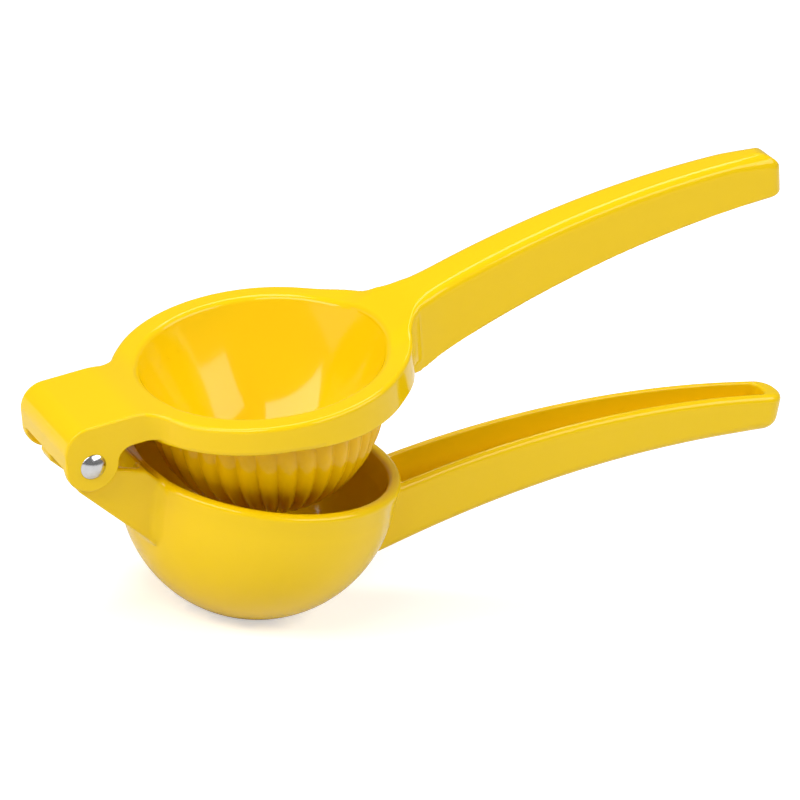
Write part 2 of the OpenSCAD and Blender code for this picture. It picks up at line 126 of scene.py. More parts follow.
def polygon(px, pz, corners):
    """Signed distance to a closed polygon in a side view."""
    d = np.full(px.shape, 1e9)
    inside = np.ones(px.shape)
    for i, (ax, az) in enumerate(corners):
        bx, bz = corners[i - 1]
        ex, ez = bx - ax, bz - az
        wx, wz = px - ax, pz - az
        t = np.clip((wx * ex + wz * ez) / (ex * ex + ez * ez), 0, 1)
        d = np.minimum(d, (wx - ex * t) ** 2 + (wz - ez * t) ** 2)
        c1, c2, c3 = pz >= az, pz < bz, ex * wz > ez * wx
        inside = np.where((c1 & c2 & c3) | (~c1 & ~c2 & ~c3), -inside, inside)
    return inside * np.sqrt(d)


class Curve:
    """A height over x as a table, smoothed over a given length, with its slope."""

    def __init__(self, f, x0, x1, smooth=0.0, step=0.1):
        self.x = np.arange(x0, x1 + step, step)
        z = f(self.x)
        if smooth > 0:
            n = int(smooth / step)
            k = np.hanning(2 * n + 3)
            pad = np.concatenate([np.full(n + 1, z[0]), z, np.full(n + 1, z[-1])])
            z = np.convolve(pad, k / k.sum(), "valid")
        self.z = z
        self.n = 1 / np.sqrt(1 + np.gradient(z, self.x) ** 2)

    def __call__(self, x):
        return np.interp(x, self.x, self.z)

    def above(self, x, z):
        """Distance of z above the curve, measured across it."""
        return (z - np.interp(x, self.x, self.z)) * np.interp(x, self.x, self.n)


def arc(x, x0, z0, x1, z1):
    """Height of the circular arc through (x0, z0) that is level at (x1, z1)."""
    r = ((x1 - x0) ** 2 + (z1 - z0) ** 2) / (2 * (z1 - z0))
    return z1 - r + np.sqrt(np.maximum(r * r - (x1 - x) ** 2, 0))


# ---------------------------------------------------------------- upper lever, ring's frame

UPPER_SPAN = (-70, 160)
HOOD_RISE_RUN = 14

UPPER_TOP = Curve(lambda x: np.where(
    x > 0,
    arc(x, ROOT_X, UPPER_ROOT_TOP, *UPPER_CREST) * ease((x - UPPER_RISE_X) / (ROOT_X - UPPER_RISE_X)),
    HOOD_RISE * ease((HOOD_RISE_X - x) / HOOD_RISE_RUN)), *UPPER_SPAN, smooth=1.0)

# Underside from the hinge's side of the ring to the handle's root. The first two stops are
# the ring's own, the others lead down to the handle.
UNDER_X = [-8, 12, 29.4, 34, 38.4, 40.2, ROOT_X]
UNDER_Z = [-7.6, -9.3, -9.3, -12.4, -12.4, -12.9, -12.4]
RING_BOTTOM = Curve(lambda x: np.interp(x, UNDER_X[:2], UNDER_Z[:2]), *UPPER_SPAN, smooth=1.6)
UPPER_BOTTOM = Curve(lambda x: np.where(
    x < ROOT_X, np.interp(x, UNDER_X, UNDER_Z),
    arc(x, ROOT_X, UNDER_Z[-1], *UPPER_END_UNDER)), *UPPER_SPAN, smooth=1.6)

# Radius of the top edge along the lever: small on the ring, larger on the handle and its tip.
EDGE_X = [-38, -30, 30, 37, 40, 45, 136, 147]
EDGE_R = [0.9, 1.3, 1.2, 1.0, 2.0, 3.2, 3.2, 4.8]
UNDER_EDGE_R = 0.8


def upper_half_w(x):
    """Half the handle's width: it widens towards the ring."""
    flare_x, flare_run = 38, 14
    root = 1 - np.clip((x - flare_x) / flare_run, 0, 1)
    taper = UPPER_TAPER * np.maximum(x - ROOT_X, 0) / (UPPER_REACH - ROOT_X)
    return UPPER_HALF_W - taper + UPPER_FLARE * root * root


def ring_side(x, rho):
    """The ring's flank, which stands out a little where the handle starts."""
    bulge, bulge_x, bulge_run = 1.1, 26, 11
    return rho - RING_R - bulge * ease((x - bulge_x) / bulge_run)


def upper_top(x, ay, z):
    """Height above the top face, which rises later at the ring's edge than in the middle."""
    delay, delay_y, delay_run = 0.35, 9, 7
    late = np.where(x > 0, delay * ease((ay - delay_y) / delay_run), 0)
    return UPPER_TOP.above(x, z + late * UPPER_TOP(x))


def cup_cavity(x, y, z):
    """Inside of the press cup: its radius grows with a power of the height.

    Near the axis the distance is measured downwards, elsewhere sideways. The limits on height
    and radius only keep the powers finite.
    """
    pit_r = 12
    r = hyp(x - CUP_SHIFT, y)
    power = CUP_INSIDE_POWER
    height = np.clip(z / CUP_INSIDE_DEPTH + 1, 1e-4, 1)
    wide = MOUTH_R * height ** power
    steep = power * wide / (height * CUP_INSIDE_DEPTH)
    deep = CUP_INSIDE_DEPTH * (np.minimum(r / MOUTH_R, 1.6) ** (1 / power) - 1)
    lean = CUP_INSIDE_DEPTH / (power * MOUTH_R) * (r / MOUTH_R + 1e-6) ** (1 / power - 1)
    sideways = (r - wide) / np.sqrt(1 + steep * steep)
    downwards = (deep - z) / np.sqrt(1 + lean * lean)
    return np.where(r < pit_r, downwards, sideways)


def hood_side(x, z):
    """Side view of the hood: its roof and back, its neck to the ring, and the round ears."""
    roof_r, neck_end = 6.5, -33
    fillet_r, fillet_x, fillet_z = 4.0, 10.91, -1.4
    px, pz = x - RING_PIVOT[0], z - RING_PIVOT[1]
    block = cut(UPPER_TOP.above(x, z), -HOOD_BACK - px, roof_r)
    neck = np.maximum(np.maximum(block, NECK_UNDER - z), x - neck_end)
    ears = np.maximum(np.maximum(block, -pz), px - EAR_R)
    # Box between an ear and the neck, from which the round fillet is taken out.
    corner = np.maximum(fillet_r - hyp(px - fillet_x, pz - fillet_z),
                        np.maximum(np.abs(px - 7.5) - 3.41, np.abs(pz - 1.3) - 2.19))
    return np.minimum(np.minimum(neck, ears), np.minimum(corner, hyp(px, pz) - EAR_R))


def hood_space(x, y, z):
    """Room inside the hood, with a sloping front wall and open below the rivet."""
    back, back_r, front_r, side_r = 5.0, 4.5, 2.0, 0.8
    front_z, run_x, run_z = -0.4, 5.6, 4.0
    px, pz = x - RING_PIVOT[0], z - RING_PIVOT[1]
    room = cut(UPPER_TOP.above(x, z) + HOOD_WALL, -back - px, back_r)
    front = ((px - EAR_R) * run_x + (z - front_z) * run_z) / math.hypot(run_x, run_z)
    room = cut(room, front, front_r)
    # The room ends a little below the rivet's height, where the open space below takes over.
    lowest, open_top, open_front = -2.0, 0.1, 11.0
    room = np.maximum(room, lowest - pz)
    below = np.maximum(pz - open_top, px - open_front)
    return cut(np.minimum(room, below), np.abs(y) - EAR_INNER, side_r)


def upper_sdf(x, y, z):
    """Upper lever: ring, press cup, channel handle and hinge hood."""
    root_fillet, tip_corner_r, tip_round_r = 4.0, 4.8, 7.5
    ay = np.abs(y)
    rho = hyp(x, y)
    w = upper_half_w(x)
    handle = np.maximum(cut(ay - w, x - UPPER_REACH, tip_corner_r), -x)
    plan = join(ring_side(x, rho), handle, root_fillet)
    hood_plan = np.maximum(np.maximum(ay - HOOD_HALF_W, x + 20), HOOD_END - x)
    plan = join(plan, hood_plan, root_fillet)
    body = cut(plan, upper_top(x, ay, z), np.interp(x, EDGE_X, EDGE_R))
    body = np.maximum(body, cut(x - UPPER_REACH, UPPER_TOP.above(x, z), tip_round_r))

    neck_r, neck_run, ring_under_end, step_fillet = 37.0, 1.6, 41, 1.2
    neck = ease((rho - neck_r) / neck_run) * (x < 0)
    under = join(np.maximum(-RING_BOTTOM.above(x, z), x - ring_under_end),
                 np.maximum(-UPPER_BOTTOM.above(x, z), ay - w), step_fillet)
    under = under + neck * ((NECK_UNDER - z) - under)
    body = cut(body, under, UNDER_EDGE_R)
    body = np.minimum(body, cut(hood_side(x, z), ay - HOOD_HALF_W, 0.6))

    cup_top = -5.0
    r = hyp(x - CUP_SHIFT, y)
    cup = np.where(z < -CUP_DEPTH, hyp(r, z + CUP_DEPTH), r) - CUP_R
    body = np.minimum(body, np.maximum(cup, z - cup_top))
    mouth_edge_r = np.interp(z, [-6, -2], [0.4, 1.2])
    body = cut(body, -cup_cavity(x, y, z), mouth_edge_r)
    body = cut(body, -hood_space(x, y, z), 0.45)

    # The channel under the handle, closed by a roof, by the tip and by a steep wall at the root.
    roof, roof_r, end_wall, end_r = 3.0, 1.6, 2.6, 2.0
    root_steep, root_x, root_z = 3.0, 32.1, -7.6      # this wall rises 3 for each 1 along
    channel = cut(ay - (w - CHANNEL_WALL), UPPER_TOP.above(x, z) + roof, roof_r)
    channel = cut(channel, x - (UPPER_REACH - end_wall), end_r)
    root_wall = (z - root_z - root_steep * (x - root_x)) / math.hypot(root_steep, 1)
    channel = np.maximum(channel, root_wall)
    return cut(body, -channel, UNDER_EDGE_R)


# ---------------------------------------------------------------- lower lever, rim's frame

LOWER_SPAN = (20, 160)
LOWER_ROOT_SLOPE = 0.45

LOWER_TOP = Curve(lambda x: arc(x, ROOT_X, LOWER_ROOT_TOP, *LOWER_CREST), *LOWER_SPAN)
LOWER_BOTTOM = Curve(lambda x: np.where(
    x < ROOT_X, LOWER_ROOT_UNDER + LOWER_ROOT_SLOPE * (x - ROOT_X),
    arc(x, ROOT_X, LOWER_ROOT_UNDER, *LOWER_END_UNDER)), *LOWER_SPAN, smooth=1.0)


def lower_half_w(x):
    return LOWER_HALF_W - LOWER_TAPER * np.maximum(x - ROOT_X, 0) / (LOWER_REACH - ROOT_X)


def tongue_under(px):
    return -TONGUE_DROP - TONGUE_SLOPE * px


# Side views of the tongue and its pocket, measured from the rivet. The tongue's top steps down
# from the rivet to the bowl's rim.
TONGUE = [(TONGUE_BACK, 0), (TONGUE_BACK, tongue_under(TONGUE_BACK) + 0.8), (-1.1, tongue_under(-1.1)),
          (TONGUE_FRONT, tongue_under(TONGUE_FRONT)), (TONGUE_FRONT, -6.2), (20.8, -6.2),
          (16.2, -3.2), (9.4, -2.5), (5.7, -1.5), (3.6, 2.7), (0, 2.7)]
POCKET = [(POCKET_BACK, 0), (0.5, tongue_under(TONGUE_BACK) + TONGUE_WALL),
          (POCKET_FRONT, tongue_under(POCKET_FRONT) + TONGUE_WALL),
          (POCKET_FRONT, POCKET_TOP), (POCKET_BACK, POCKET_TOP)]


def ring_of_holes(x, y, count, ring_r, turn):
    pitch = FULL_TURN / count
    a = np.arctan2(y, x) - turn
    a = a - pitch * np.round(a / pitch)
    rho = hyp(x, y)
    return hyp(rho * np.cos(a) - ring_r, rho * np.sin(a)) - DRAIN_R


def drain_holes(x, y, z):
    """One hole in the middle, six round it and twelve round those, through the bowl's bottom."""
    bottom_only = -20
    d = np.minimum(hyp(x, y) - DRAIN_R, ring_of_holes(x, y, 6, 7.0, 0.0))
    d = np.minimum(d, ring_of_holes(x, y, 12, 14.0, FULL_TURN / 24))
    return np.maximum(d, z - bottom_only)


def bowl_wall(rho, z, r, lean):
    """Distance to a ball below the band, and to the leaning band above it."""
    return np.where(z < -BOWL_BAND, hyp(rho, z + BOWL_BAND) - r, rho - r - lean)


def lower_sdf(x, y, z):
    """Lower lever: bowl, channel handle and hinge tongue."""
    rim_r, foot_r = 1.8, 1.5
    ay = np.abs(y)
    rho = hyp(x, y)
    band = np.clip((z + BOWL_BAND) / BOWL_BAND, 0, 2)
    bowl = bowl_wall(rho, z, BOWL_R, RIM_LEAN * band ** 1.5)
    bowl = cut(cut(bowl, z, rim_r), -RIM_Z - z, foot_r)

    handle_start, tip_corner_r, top_edge_r = 30, 5.2, 2.0
    w = lower_half_w(x)
    plan = np.maximum(cut(ay - w, x - LOWER_REACH, tip_corner_r), handle_start - x)
    under_edge_r = np.interp(x, [140, 150], [3.0, 3.4])
    handle = cut(cut(plan, -LOWER_BOTTOM.above(x, z), under_edge_r), LOWER_TOP.above(x, z), top_edge_r)

    px, pz = x - PIVOT[0], z - (PIVOT[1] - RIM_Z)
    side = np.minimum(polygon(px, pz, TONGUE), hyp(px, pz) - TONGUE_R)
    tongue = cut(side, ay - TONGUE_HALF_W, 0.8)
    # The tongue's fillet to the bowl is wider on its flanks, and eases off at its other edges.
    fillet, wider = 1.6, 1.4
    beside = ease((ay - 11) / 2) * ease((pz - tongue_under(px)) / 4) * ease((-0.5 - z) / 4)
    body = join(join(bowl, handle, 3.2), tongue, fillet + wider * beside)
    body = cut(body, -bowl_wall(rho, z, BOWL_INSIDE_R, RIM_LEAN * band), 1.3)

    # The channel on the handle, closed by its floor, by the tip and by the bowl.
    channel_floor, floor_r, end_wall, end_r, bowl_r, root_r = 3.0, 2.0, 5.6, 2.2, 38.0, 1.4
    channel = cut(ay - (w - CHANNEL_WALL), channel_floor - LOWER_BOTTOM.above(x, z), floor_r)
    channel = cut(cut(channel, x - (LOWER_REACH - end_wall), end_r), bowl_r - rho, root_r)
    body = cut(body, -channel, 0.8)
    pocket = np.minimum(polygon(px, pz, POCKET), hyp(px, pz) + POCKET_BACK)
    body = cut(body, -cut(pocket, ay - POCKET_HALF_W, 1.0), 0.7)
    return cut(body, -drain_holes(x, y, z), 0.35)


# ---------------------------------------------------------------- meshes from the functions

BLOCK = 8                   # grid cells along a block of the coarse search
REACH_SHARE = 1.35          # a block is sampled where the surface may lie this far from its middle,
REACH_MORE = 0.5            # in half diagonals, and this many millimetres more
FAR = 99.0                  # stands for the distance in blocks that aren't sampled
BATCH = 400                 # blocks sampled at a time
STAY = 0.25                 # how far a vertex may leave its cell, in cells
EVENING = 0.6


def spaced(stops):
    """Grid lines from (start, end, spacing) runs."""
    out = [stops[0][0]]
    for a, b, h in stops:
        n = max(1, int(round((b - a) / h)))
        out += [a + (b - a) * i / n for i in range(1, n + 1)]
    return np.array(out)


def surface(sdf, xs, ys, zs):
    """Vertices on the zero surface of sdf, unit normals, and four-sided faces."""
    grids = [xs, ys, zs]
    size = [len(g) for g in grids]
    starts = [np.arange(0, n - 1, BLOCK) for n in size]
    ends = [np.minimum(s + BLOCK, n - 1) for s, n in zip(starts, size)]
    mids = [(g[a] + g[b]) / 2 for g, a, b in zip(grids, starts, ends)]
    half = [(g[b] - g[a]) / 2 for g, a, b in zip(grids, starts, ends)]
    cx, cy, cz = np.meshgrid(*mids, indexing="ij")
    hx, hy, hz = np.meshgrid(*half, indexing="ij")
    coarse = sdf(cx, cy, cz)
    near = REACH_SHARE * np.sqrt(hx * hx + hy * hy + hz * hz) + REACH_MORE
    active = np.argwhere(np.abs(coarse) < near)
    rep = [np.minimum(np.arange(n) // BLOCK, len(s) - 1) for n, s in zip(size, starts)]
    field = np.where(coarse < 0, -FAR, FAR)[np.ix_(*rep)].astype(np.float32)
    step = np.arange(BLOCK + 1)
    for k in range(0, len(active), BATCH):
        part = active[k:k + BATCH]
        part = active[k:k + 400]
        ix, iy, iz = (np.minimum(s[part[:, i]][:, None] + step, n - 1)
                      for i, (s, n) in enumerate(zip(starts, size)))
        jx, jy, jz = ix[:, :, None, None], iy[:, None, :, None], iz[:, None, None, :]
        px, py, pz = np.broadcast_arrays(xs[jx], ys[jy], zs[jz])
        field[jx, jy, jz] = sdf(px, py, pz)
    solid = field < 0
    count = sum(solid[a:size[0] - 1 + a, b:size[1] - 1 + b, c:size[2] - 1 + c].astype(np.uint8)
                for a in (0, 1) for b in (0, 1) for c in (0, 1))
    cells = np.argwhere((count > 0) & (count < 8))
    index = np.full(count.shape, -1, np.int32)
    index[tuple(cells.T)] = np.arange(len(cells))
    total = np.zeros((len(cells), 3))
    hits = np.zeros(len(cells))
    for axis in range(3):
        for b in (0, 1):
            for c in (0, 1):
                lo = cells.copy()
                lo[:, (axis + 1) % 3] += b
                lo[:, (axis + 2) % 3] += c
                hi = lo.copy()
                hi[:, axis] += 1
                d0, d1 = field[tuple(lo.T)], field[tuple(hi.T)]
                crossed = (d0 < 0) != (d1 < 0)
                t = np.where(crossed, d0 / np.where(crossed, d0 - d1, 1), 0)
                for i in range(3):
                    g = grids[i]
                    p = g[lo[:, i]] + t * (g[hi[:, i]] - g[lo[:, i]])
                    total[:, i] += np.where(crossed, p, 0)
                hits += crossed
    points = total / hits[:, None]
    low = np.stack([g[cells[:, i]] for i, g in enumerate(grids)], 1)
    high = np.stack([g[cells[:, i] + 1] for i, g in enumerate(grids)], 1)
    slack = (high - low) * STAY
    faces = []
    for axis in range(3):
        u, v = (axis + 1) % 3, (axis + 2) % 3
        lo = [slice(None)] * 3
        hi = [slice(None)] * 3
        lo[axis], hi[axis] = slice(0, -1), slice(1, None)
        s0, s1 = solid[tuple(lo)], solid[tuple(hi)]
        e = np.argwhere(s0 != s1)
        e = e[(e[:, u] > 0) & (e[:, v] > 0) & (e[:, u] < size[u] - 1) & (e[:, v] < size[v] - 1)]
        out = s0[tuple(e.T)]
        ring = []
        for du, dv in ((-1, -1), (0, -1), (0, 0), (-1, 0)):
            q = e.copy()
            q[:, u] += du
            q[:, v] += dv
            ring.append(index[tuple(q.T)])
        quad = np.stack(ring, 1)
        faces.append(np.where(out[:, None], quad, quad[:, ::-1]))
    faces = np.concatenate(faces)
    points = np.clip(settle(sdf, points, 4), low - slack, high + slack)
    for _ in range(3):
        even = points + EVENING * (neighbour_mean(points, faces) - points)
        points = np.clip(settle(sdf, even, 2), low - slack, high + slack)
    normals = sample(sdf, points)[1]
    normals /= np.maximum(np.linalg.norm(normals, axis=1), 1e-9)[:, None]
    return points, normals, faces


def settle(sdf, points, times):
    """Moves points along the slope of sdf onto its zero surface."""
    least_slope = 0.05
    for _ in range(times):
        d, g = sample(sdf, points)
        g2 = np.maximum((g * g).sum(1), least_slope)
        points = points - g * (d / g2)[:, None]
    return points


def neighbour_mean(points, faces):
    """Mean of the points that share an edge with each point."""
    a, b = faces.ravel(), np.roll(faces, -1, axis=1).ravel()
    count = np.maximum(np.bincount(a, minlength=len(points)), 1)
    return np.stack([np.bincount(a, points[b, i], len(points)) for i in range(3)], 1) / count[:, None]


def sample(sdf, p, e=0.02):
    """Value and slope of sdf at points."""
    x, y, z = p.T
    g = np.stack([sdf(x + e, y, z) - sdf(x - e, y, z),
                  sdf(x, y + e, z) - sdf(x, y - e, z),
                  sdf(x, y, z + e) - sdf(x, y, z - e)], 1) / (2 * e)
    return sdf(x, y, z), g


def from_ring(p):
    """Points or directions of the ring's frame in the part's frame."""
    a = math.radians(OPEN_ANGLE)
    x, y, z = p.T
    return np.stack([x * math.cos(a) - z * math.sin(a), y, x * math.sin(a) + z * math.cos(a)], 1)


def add_object(name, data):
    obj = bpy.data.objects.new(name, data)
    bpy.context.scene.collection.objects.link(obj)
    return obj


def add_mesh(name, points, normals, faces, material):
    """Smooth object from four-sided faces, with the surface's own normals at its vertices."""
    mesh = bpy.data.meshes.new(name)
    mesh.vertices.add(len(points))
    mesh.vertices.foreach_set("co", (points * MM).astype(np.float32).ravel())
    mesh.loops.add(faces.size)
    mesh.loops.foreach_set("vertex_index", faces.astype(np.int32).ravel())
    mesh.polygons.add(len(faces))
    mesh.polygons.foreach_set("loop_start", np.arange(0, faces.size, 4, dtype=np.int32))
    mesh.update(calc_edges=True)
    mesh.validate()
    mesh.polygons.foreach_set("use_smooth", np.ones(len(mesh.polygons), bool))
    mesh.normals_split_custom_set_from_vertices(normals.astype(np.float32))
    mesh.materials.append(material)
    return add_object(name, mesh)


# ---------------------------------------------------------------- materials

def node(tree, kind, **inputs):
    """New node of a tree, with its inputs set by name."""
    n = tree.nodes.new(kind)
    for key, value in inputs.items():
        name = key.replace("_", " ")
        n.inputs[name].default_value = value
    return n


def enamel_group():
    """Slow colour drift of a cast enamel coat, and its faint unevenness as a normal."""
    g = bpy.data.node_groups.new("enamel coat", "ShaderNodeTree")
    face = g.interface
    for name, value in (("Scale", 9.0), ("Unevenness", 0.02)):
        s = face.new_socket(name, in_out="INPUT", socket_type="NodeSocketFloat")
        s.default_value = value
    face.new_socket("Drift", in_out="OUTPUT", socket_type="NodeSocketFloat")
    face.new_socket("Normal", in_out="OUTPUT", socket_type="NodeSocketVector")
    start = g.nodes.new("NodeGroupInput")
    end = g.nodes.new("NodeGroupOutput")
    where = g.nodes.new("ShaderNodeTexCoord")
    slow = node(g, "ShaderNodeTexNoise", Detail=2.0, Roughness=0.5)
    g.links.new(where.outputs["Object"], slow.inputs["Vector"])
    g.links.new(start.outputs["Scale"], slow.inputs["Scale"])
    fine = node(g, "ShaderNodeTexNoise", Scale=150.0, Detail=1.0)
    g.links.new(where.outputs["Object"], fine.inputs["Vector"])
    bump = node(g, "ShaderNodeBump", Distance=0.0004)
    g.links.new(start.outputs["Unevenness"], bump.inputs["Strength"])
    g.links.new(fine.outputs["Fac"], bump.inputs["Height"])
    g.links.new(slow.outputs["Fac"], end.inputs["Drift"])
    g.links.new(bump.outputs["Normal"], end.inputs["Normal"])
    return g


def enamel_material(name, group, low, high, gloss):
    """Lemon enamel that drifts slowly between two tones; gloss is the strength of its sheen."""
    mat = bpy.data.materials.new(name)
    mat.use_nodes = True
    t = mat.node_tree
    shader = t.nodes["Principled BSDF"]
    coat = t.nodes.new("ShaderNodeGroup")
    coat.node_tree = group
    ramp = t.nodes.new("ShaderNodeValToRGB")
    ramp.color_ramp.elements[0].position = 0.3
    ramp.color_ramp.elements[0].color = (*low, 1)
    ramp.color_ramp.elements[1].position = 0.7
    ramp.color_ramp.elements[1].color = (*high, 1)
    t.links.new(coat.outputs["Drift"], ramp.inputs["Fac"])
    t.links.new(ramp.outputs["Color"], shader.inputs["Base Color"])
    t.links.new(coat.outputs["Normal"], shader.inputs["Normal"])
    shader.inputs["Roughness"].default_value = 0.1
    shader.inputs["Specular IOR Level"].default_value = gloss
    return mat


def steel_material():
    """Polished steel whose tone and sheen vary in small grains."""
    mat = bpy.data.materials.new("polished rivet steel")
    mat.use_nodes = True
    t = mat.node_tree
    shader = t.nodes["Principled BSDF"]
    where = t.nodes.new("ShaderNodeTexCoord")
    noise = node(t, "ShaderNodeTexNoise", Scale=900.0, Detail=3.0)
    t.links.new(where.outputs["Object"], noise.inputs["Vector"])
    tone = t.nodes.new("ShaderNodeValToRGB")
    tone.color_ramp.elements[0].color = (0.56, 0.56, 0.57, 1)
    tone.color_ramp.elements[1].color = (0.70, 0.70, 0.71, 1)
    t.links.new(noise.outputs["Fac"], tone.inputs["Fac"])
    t.links.new(tone.outputs["Color"], shader.inputs["Base Color"])
    rough = node(t, "ShaderNodeMapRange")
    rough.inputs["To Min"].default_value = 0.14
    rough.inputs["To Max"].default_value = 0.22
    t.links.new(noise.outputs["Fac"], rough.inputs["Value"])
    t.links.new(rough.outputs["Result"], shader.inputs["Roughness"])
    shader.inputs["Metallic"].default_value = 1.0
    return mat


# ---------------------------------------------------------------- fluted shell, by nodes

COLUMNS_PER_FLUTE = 16
SHELL_ROWS = 121
DRUM_SHARE = 0.25           # length of the drum in the grid, as a share of the ball's
RIB_SHARPNESS = 0.85
POLE_FADE = 2.2             # the flutes die out towards the pole
MERGE_MM = 0.0008


def fluted_tree():
    """Closed shell of revolution: a fluted ball outside, a plain one inside."""
    g = bpy.data.node_groups.new("fluted shell", "GeometryNodeTree")
    face = g.interface
    face.new_socket("Geometry", in_out="INPUT", socket_type="NodeSocketGeometry")
    sizes = (("Flutes", "NodeSocketInt", 36), ("Radius", "NodeSocketFloat", 30.5),
             ("Flute Depth", "NodeSocketFloat", 0.9), ("Wall", "NodeSocketFloat", 2.2),
             ("Drum Height", "NodeSocketFloat", 6.0))
    for name, kind, value in sizes:
        face.new_socket(name, in_out="INPUT", socket_type=kind).default_value = value
    face.new_socket("Material", in_out="INPUT", socket_type="NodeSocketMaterial")
    face.new_socket("Geometry", in_out="OUTPUT", socket_type="NodeSocketGeometry")
    start = g.nodes.new("NodeGroupInput")
    end = g.nodes.new("NodeGroupOutput")
    put = start.outputs

    def feed(socket, value):
        if isinstance(value, (int, float)):
            socket.default_value = value
        else:
            g.links.new(value, socket)

    def op(kind, a, b=0.0, c=0.0):
        n = g.nodes.new("ShaderNodeMath")
        n.operation = kind
        for socket, value in zip(n.inputs, (a, b, c)):
            feed(socket, value)
        return n.outputs[0]

    columns = op("MULTIPLY_ADD", put["Flutes"], COLUMNS_PER_FLUTE, 1)
    grid = g.nodes.new("GeometryNodeMeshGrid")
    grid.inputs["Size X"].default_value = 1.0
    grid.inputs["Size Y"].default_value = 1.0
    feed(grid.inputs["Vertices X"], columns)
    grid.inputs["Vertices Y"].default_value = SHELL_ROWS
    place = g.nodes.new("GeometryNodeInputPosition")
    parts = g.nodes.new("ShaderNodeSeparateXYZ")
    g.links.new(place.outputs[0], parts.inputs[0])
    turn = op("MULTIPLY", op("ADD", parts.outputs["X"], 0.5), FULL_TURN)
    t = op("ADD", parts.outputs["Y"], 0.5)
    # t below 0.5 runs up the inside from its pole, t above 0.5 down the outside to its pole
    outer = op("GREATER_THAN", t, 0.5)
    way = op("SUBTRACT", 1.0, op("ABSOLUTE", op("MULTIPLY_ADD", t, 2, -1)))
    rise = op("MULTIPLY", way, 1 + DRUM_SHARE)
    ball = op("MULTIPLY", op("MINIMUM", rise, 1.0), FULL_TURN / 4)
    drum = op("MULTIPLY", op("MAXIMUM", op("SUBTRACT", rise, 1.0), 0.0), 1 / DRUM_SHARE)
    spread = op("SINE", ball)
    wave = op("ABSOLUTE", op("SINE", op("MULTIPLY", op("MULTIPLY", turn, put["Flutes"]), 0.5)))
    rib = op("POWER", wave, RIB_SHARPNESS)
    fade = op("MINIMUM", op("MULTIPLY", spread, POLE_FADE), 1.0)
    dip = op("MULTIPLY", op("MULTIPLY", op("SUBTRACT", rib, 1.0), put["Flute Depth"]), fade)
    outside = op("ADD", put["Radius"], dip)
    inside = op("SUBTRACT", put["Radius"], put["Wall"])
    radius = op("ADD", inside, op("MULTIPLY", outer, op("SUBTRACT", outside, inside)))
    flat = op("MULTIPLY", radius, spread)
    height = op("SUBTRACT", op("MULTIPLY", drum, put["Drum Height"]),
                op("MULTIPLY", radius, op("COSINE", ball)))
    spot = g.nodes.new("ShaderNodeCombineXYZ")
    g.links.new(op("MULTIPLY", flat, op("COSINE", turn)), spot.inputs[0])
    g.links.new(op("MULTIPLY", flat, op("SINE", turn)), spot.inputs[1])
    g.links.new(height, spot.inputs[2])
    move = g.nodes.new("GeometryNodeSetPosition")
    g.links.new(grid.outputs["Mesh"], move.inputs["Geometry"])
    g.links.new(spot.outputs[0], move.inputs["Position"])
    merge = g.nodes.new("GeometryNodeMergeByDistance")
    merge.inputs["Distance"].default_value = MERGE_MM
    g.links.new(move.outputs[0], merge.inputs["Geometry"])
    smooth = g.nodes.new("GeometryNodeSetShadeSmooth")
    g.links.new(merge.outputs[0], smooth.inputs["Geometry"])
    paint = g.nodes.new("GeometryNodeSetMaterial")
    g.links.new(smooth.outputs[0], paint.inputs["Geometry"])
    g.links.new(put["Material"], paint.inputs["Material"])
    g.links.new(paint.outputs[0], end.inputs["Geometry"])
    return g


def grown(name, tree, **values):
    """The plain mesh that a geometry tree makes from these named inputs."""
    seed = add_object("seed", bpy.data.meshes.new("seed"))
    mod = seed.modifiers.new("grow", "NODES")
    mod.node_group = tree
    ids = {s.name: s.identifier for s in tree.interface.items_tree
           if s.item_type == "SOCKET" and s.in_out == "INPUT"}
    for key, value in values.items():
        mod[ids[key.replace("_", " ")]] = value
    deps = bpy.context.evaluated_depsgraph_get()
    mesh = bpy.data.meshes.new_from_object(seed.evaluated_get(deps), depsgraph=deps)
    bpy.data.objects.remove(seed)
    mesh.name = name
    return add_object(name, mesh)


# ---------------------------------------------------------------- rivet

def turned(name, profile, steps, material):
    """Solid of revolution about Y from a closed (radius, y) profile with its ends on the axis."""
    points, faces = [], []
    ring = len(profile) - 2
    for i in range(steps):
        a = FULL_TURN * i / steps
        points += [(r * math.cos(a), y, r * math.sin(a)) for r, y in profile[1:-1]]
    first, last = len(points), len(points) + 1
    points += [(0, profile[0][1], 0), (0, profile[-1][1], 0)]
    for i in range(steps):
        a, b = i * ring, (i + 1) % steps * ring
        faces += [(a + j, b + j, b + j + 1, a + j + 1) for j in range(ring - 1)]
        faces += [(first, b, a), (last, a + ring - 1, b + ring - 1)]
    mesh = bpy.data.meshes.new(name)
    mesh.from_pydata([Vector(p) * MM for p in points], [], faces)
    mesh.polygons.foreach_set("use_smooth", [True] * len(mesh.polygons))
    mesh.materials.append(material)
    mesh.update()
    return add_object(name, mesh)


def rivet_profile():
    """Two domed heads with a small rounded edge against the ears, and the shank between them."""
    head_r, head_h, shank_r, steps, dome_share = 3.5, 1.45, 2.0, 14, 0.93
    dome_r = (head_r ** 2 + head_h ** 2) / (2 * head_h)
    dome_mid = HOOD_HALF_W + head_h - dome_r
    top = math.asin(head_r / dome_r) * dome_share
    right = [(dome_r * math.sin(top * i / steps), dome_mid + dome_r * math.cos(top * i / steps))
             for i in range(steps + 1)]
    r, y = right[-1]
    right += [(r + 0.08, y - 0.1), (r + 0.06, y - 0.22), (r - 0.25, HOOD_HALF_W + 0.02),
              (shank_r, HOOD_HALF_W + 0.01)]
    return right + [(r, -y) for r, y in reversed(right)]


# ---------------------------------------------------------------- build

coarser = 1.0


def runs(*stops):
    return spaced([(a, b, h * coarser) for a, b, h in stops])


